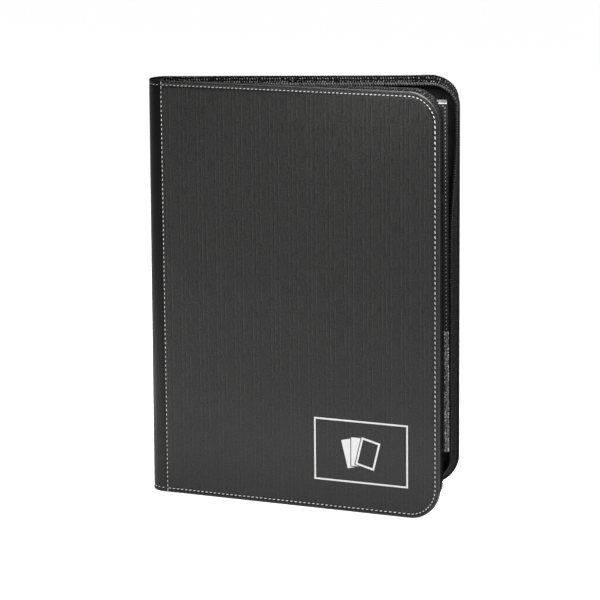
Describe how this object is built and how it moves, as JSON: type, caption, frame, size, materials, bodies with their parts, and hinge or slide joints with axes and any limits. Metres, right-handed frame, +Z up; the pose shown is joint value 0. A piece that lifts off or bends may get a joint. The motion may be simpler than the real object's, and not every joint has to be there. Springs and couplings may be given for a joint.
{
  "type": "trading card binder",
  "caption": "Zip-up trading card binder: padded leatherette covers with round corners, a rounded spine, a zip round three edges and sewn-in leaves of card pockets.",
  "frame": {"origin": "foot of the spine, midway between the two covers' outer faces when closed, on the surface that the binder stands on", "axes": "+Z up along the spine; +X from the spine to the fore edge of the back cover and leaves; +Y from the front cover to the back cover"},
  "size_m": [0.2578, 0.1259, 0.35],
  "materials": {
    "panel_leather": "satin",
    "spine_leather": "satin",
    "lining_cloth": "matt",
    "foam": "matt",
    "board": "matt",
    "stitching": "satin",
    "binding_thread": "satin",
    "binding_block": "matt",
    "zip_tape": "matt",
    "zip_coil": "satin",
    "zip_metal": "satin",
    "page_film": "gloss",
    "emblem_print": "matt"
  },
  "bodies": {
    "spine": {"spine_skin": "spine_leather", "spine_core": "foam", "spine_lining": "lining_cloth", "spine_hem_thread": "stitching", "page_binding_block": "binding_block", "binding_thread": "binding_thread", "zip_bottom_tab": "zip_tape", "zip_top_tab": "zip_tape"},
    "front_joint": {"front_hinge_strip": "panel_leather", "front_seam_thread": "stitching"},
    "front_cover": {"front_cover_skin": "panel_leather", "front_cover_padding": "foam", "front_cover_board": "board", "front_cover_lining": "lining_cloth", "front_zip_tape": "zip_tape", "front_zip_coil": "zip_coil", "front_zip_stop": "zip_metal", "front_edge_thread": "stitching", "front_emblem": "emblem_print"},
    "back_cover": {"back_cover_skin": "panel_leather", "back_cover_padding": "foam", "back_cover_board": "board", "back_cover_lining": "lining_cloth", "back_zip_tape": "zip_tape", "back_zip_coil": "zip_coil", "back_zip_stop": "zip_metal", "back_edge_thread": "stitching", "back_hinge_strip": "panel_leather", "back_seam_thread": "stitching"},
    "zip_slider": {"zip_slider_body": "zip_metal"},
    "zip_pull": {"zip_pull_tab": "zip_metal"},
    "page_01": {"page_01": "page_film"},
    "page_02": {"page_02": "page_film"},
    "page_03": {"page_03": "page_film"},
    "page_04": {"page_04": "page_film"},
    "page_05": {"page_05": "page_film"},
    "page_06": {"page_06": "page_film"},
    "page_07": {"page_07": "page_film"},
    "page_08": {"page_08": "page_film"},
    "page_09": {"page_09": "page_film"},
    "page_10": {"page_10": "page_film"},
    "page_11": {"page_11": "page_film"},
    "page_12": {"page_12": "page_film"},
    "page_13": {"page_13": "page_film"},
    "page_14": {"page_14": "page_film"},
    "page_15": {"page_15": "page_film"},
    "page_16": {"page_16": "page_film"},
    "page_17": {"page_17": "page_film"},
    "page_18": {"page_18": "page_film"},
    "page_19": {"page_19": "page_film"},
    "page_20": {"page_20": "page_film"}
  },
  "joints": [
    {"name": "front_spine_crease", "type": "hinge", "parent": "spine", "child": "front_joint", "pos_m": [0, -0.0175, 0], "axis": [0, 0, -1], "range_deg": [-21.5, 68.5]},
    {"name": "front_cover_crease", "type": "hinge", "parent": "front_joint", "child": "front_cover", "pos_m": [0.00751, -0.02046, 0], "axis": [0, 0, -1], "range_deg": [0, 90]},
    {"name": "back_cover_crease", "type": "hinge", "parent": "spine", "child": "back_cover", "pos_m": [0, 0.0175, 0], "axis": [0, 0, 1], "range_deg": [0, 90]},
    {"name": "zip_slider_travel", "type": "slide", "parent": "spine", "child": "zip_slider", "axis": [1, 0, 0], "range_m": [0, 0.195]},
    {"name": "zip_pull_swing", "type": "hinge", "parent": "zip_slider", "child": "zip_pull", "pos_m": [0.009, 0, 0.00455], "axis": [0, 1, 0], "range_deg": [-6, 124]},
    {"name": "page_01_turn", "type": "hinge", "parent": "spine", "child": "page_01", "pos_m": [0.012, -0.01235, 0], "axis": [0, 0, -1], "range_deg": [0, 78.31]},
    {"name": "page_02_turn", "type": "hinge", "parent": "spine", "child": "page_02", "pos_m": [0.012, -0.01105, 0], "axis": [0, 0, -1], "range_deg": [0, 74.39]},
    {"name": "page_03_turn", "type": "hinge", "parent": "spine", "child": "page_03", "pos_m": [0.012, -0.00975, 0], "axis": [0, 0, -1], "range_deg": [0, 70.48]},
    {"name": "page_04_turn", "type": "hinge", "parent": "spine", "child": "page_04", "pos_m": [0.012, -0.00845, 0], "axis": [0, 0, -1], "range_deg": [0, 66.56]},
    {"name": "page_05_turn", "type": "hinge", "parent": "spine", "child": "page_05", "pos_m": [0.012, -0.00715, 0], "axis": [0, 0, -1], "range_deg": [0, 62.65]},
    {"name": "page_06_turn", "type": "hinge", "parent": "spine", "child": "page_06", "pos_m": [0.012, -0.00585, 0], "axis": [0, 0, -1], "range_deg": [0, 58.73]},
    {"name": "page_07_turn", "type": "hinge", "parent": "spine", "child": "page_07", "pos_m": [0.012, -0.00455, 0], "axis": [0, 0, -1], "range_deg": [0, 54.82]},
    {"name": "page_08_turn", "type": "hinge", "parent": "spine", "child": "page_08", "pos_m": [0.012, -0.00325, 0], "axis": [0, 0, -1], "range_deg": [0, 50.91]},
    {"name": "page_09_turn", "type": "hinge", "parent": "spine", "child": "page_09", "pos_m": [0.012, -0.00195, 0], "axis": [0, 0, -1], "range_deg": [0, 46.99]},
    {"name": "page_10_turn", "type": "hinge", "parent": "spine", "child": "page_10", "pos_m": [0.012, -0.00065, 0], "axis": [0, 0, -1], "range_deg": [0, 43.08]},
    {"name": "page_11_turn", "type": "hinge", "parent": "spine", "child": "page_11", "pos_m": [0.012, 0.00065, 0], "axis": [0, 0, -1], "range_deg": [0, 39.16]},
    {"name": "page_12_turn", "type": "hinge", "parent": "spine", "child": "page_12", "pos_m": [0.012, 0.00195, 0], "axis": [0, 0, -1], "range_deg": [0, 35.24]},
    {"name": "page_13_turn", "type": "hinge", "parent": "spine", "child": "page_13", "pos_m": [0.012, 0.00325, 0], "axis": [0, 0, -1], "range_deg": [0, 31.33]},
    {"name": "page_14_turn", "type": "hinge", "parent": "spine", "child": "page_14", "pos_m": [0.012, 0.00455, 0], "axis": [0, 0, -1], "range_deg": [0, 27.41]},
    {"name": "page_15_turn", "type": "hinge", "parent": "spine", "child": "page_15", "pos_m": [0.012, 0.00585, 0], "axis": [0, 0, -1], "range_deg": [0, 23.5]},
    {"name": "page_16_turn", "type": "hinge", "parent": "spine", "child": "page_16", "pos_m": [0.012, 0.00715, 0], "axis": [0, 0, -1], "range_deg": [0, 19.59]},
    {"name": "page_17_turn", "type": "hinge", "parent": "spine", "child": "page_17", "pos_m": [0.012, 0.00845, 0], "axis": [0, 0, -1], "range_deg": [0, 15.67]},
    {"name": "page_18_turn", "type": "hinge", "parent": "spine", "child": "page_18", "pos_m": [0.012, 0.00975, 0], "axis": [0, 0, -1], "range_deg": [0, 11.76]},
    {"name": "page_19_turn", "type": "hinge", "parent": "spine", "child": "page_19", "pos_m": [0.012, 0.01105, 0], "axis": [0, 0, -1], "range_deg": [0, 7.84]},
    {"name": "page_20_turn", "type": "hinge", "parent": "spine", "child": "page_20", "pos_m": [0.012, 0.01235, 0], "axis": [0, 0, -1], "range_deg": [0, 3.92]}
  ],
  "couplings": [
    {"joint": "page_01_turn", "follows": "front_cover_crease", "ratio": 0.87},
    {"joint": "page_02_turn", "follows": "front_cover_crease", "ratio": 0.8265},
    {"joint": "page_03_turn", "follows": "front_cover_crease", "ratio": 0.783},
    {"joint": "page_04_turn", "follows": "front_cover_crease", "ratio": 0.7395},
    {"joint": "page_05_turn", "follows": "front_cover_crease", "ratio": 0.696},
    {"joint": "page_06_turn", "follows": "front_cover_crease", "ratio": 0.6525},
    {"joint": "page_07_turn", "follows": "front_cover_crease", "ratio": 0.609},
    {"joint": "page_08_turn", "follows": "front_cover_crease", "ratio": 0.5655},
    {"joint": "page_09_turn", "follows": "front_cover_crease", "ratio": 0.522},
    {"joint": "page_10_turn", "follows": "front_cover_crease", "ratio": 0.4785},
    {"joint": "page_11_turn", "follows": "front_cover_crease", "ratio": 0.435},
    {"joint": "page_12_turn", "follows": "front_cover_crease", "ratio": 0.3915},
    {"joint": "page_13_turn", "follows": "front_cover_crease", "ratio": 0.348},
    {"joint": "page_14_turn", "follows": "front_cover_crease", "ratio": 0.3045},
    {"joint": "page_15_turn", "follows": "front_cover_crease", "ratio": 0.261},
    {"joint": "page_16_turn", "follows": "front_cover_crease", "ratio": 0.2175},
    {"joint": "page_17_turn", "follows": "front_cover_crease", "ratio": 0.174},
    {"joint": "page_18_turn", "follows": "front_cover_crease", "ratio": 0.1305},
    {"joint": "page_19_turn", "follows": "front_cover_crease", "ratio": 0.087},
    {"joint": "page_20_turn", "follows": "front_cover_crease", "ratio": 0.0435}
  ]
}
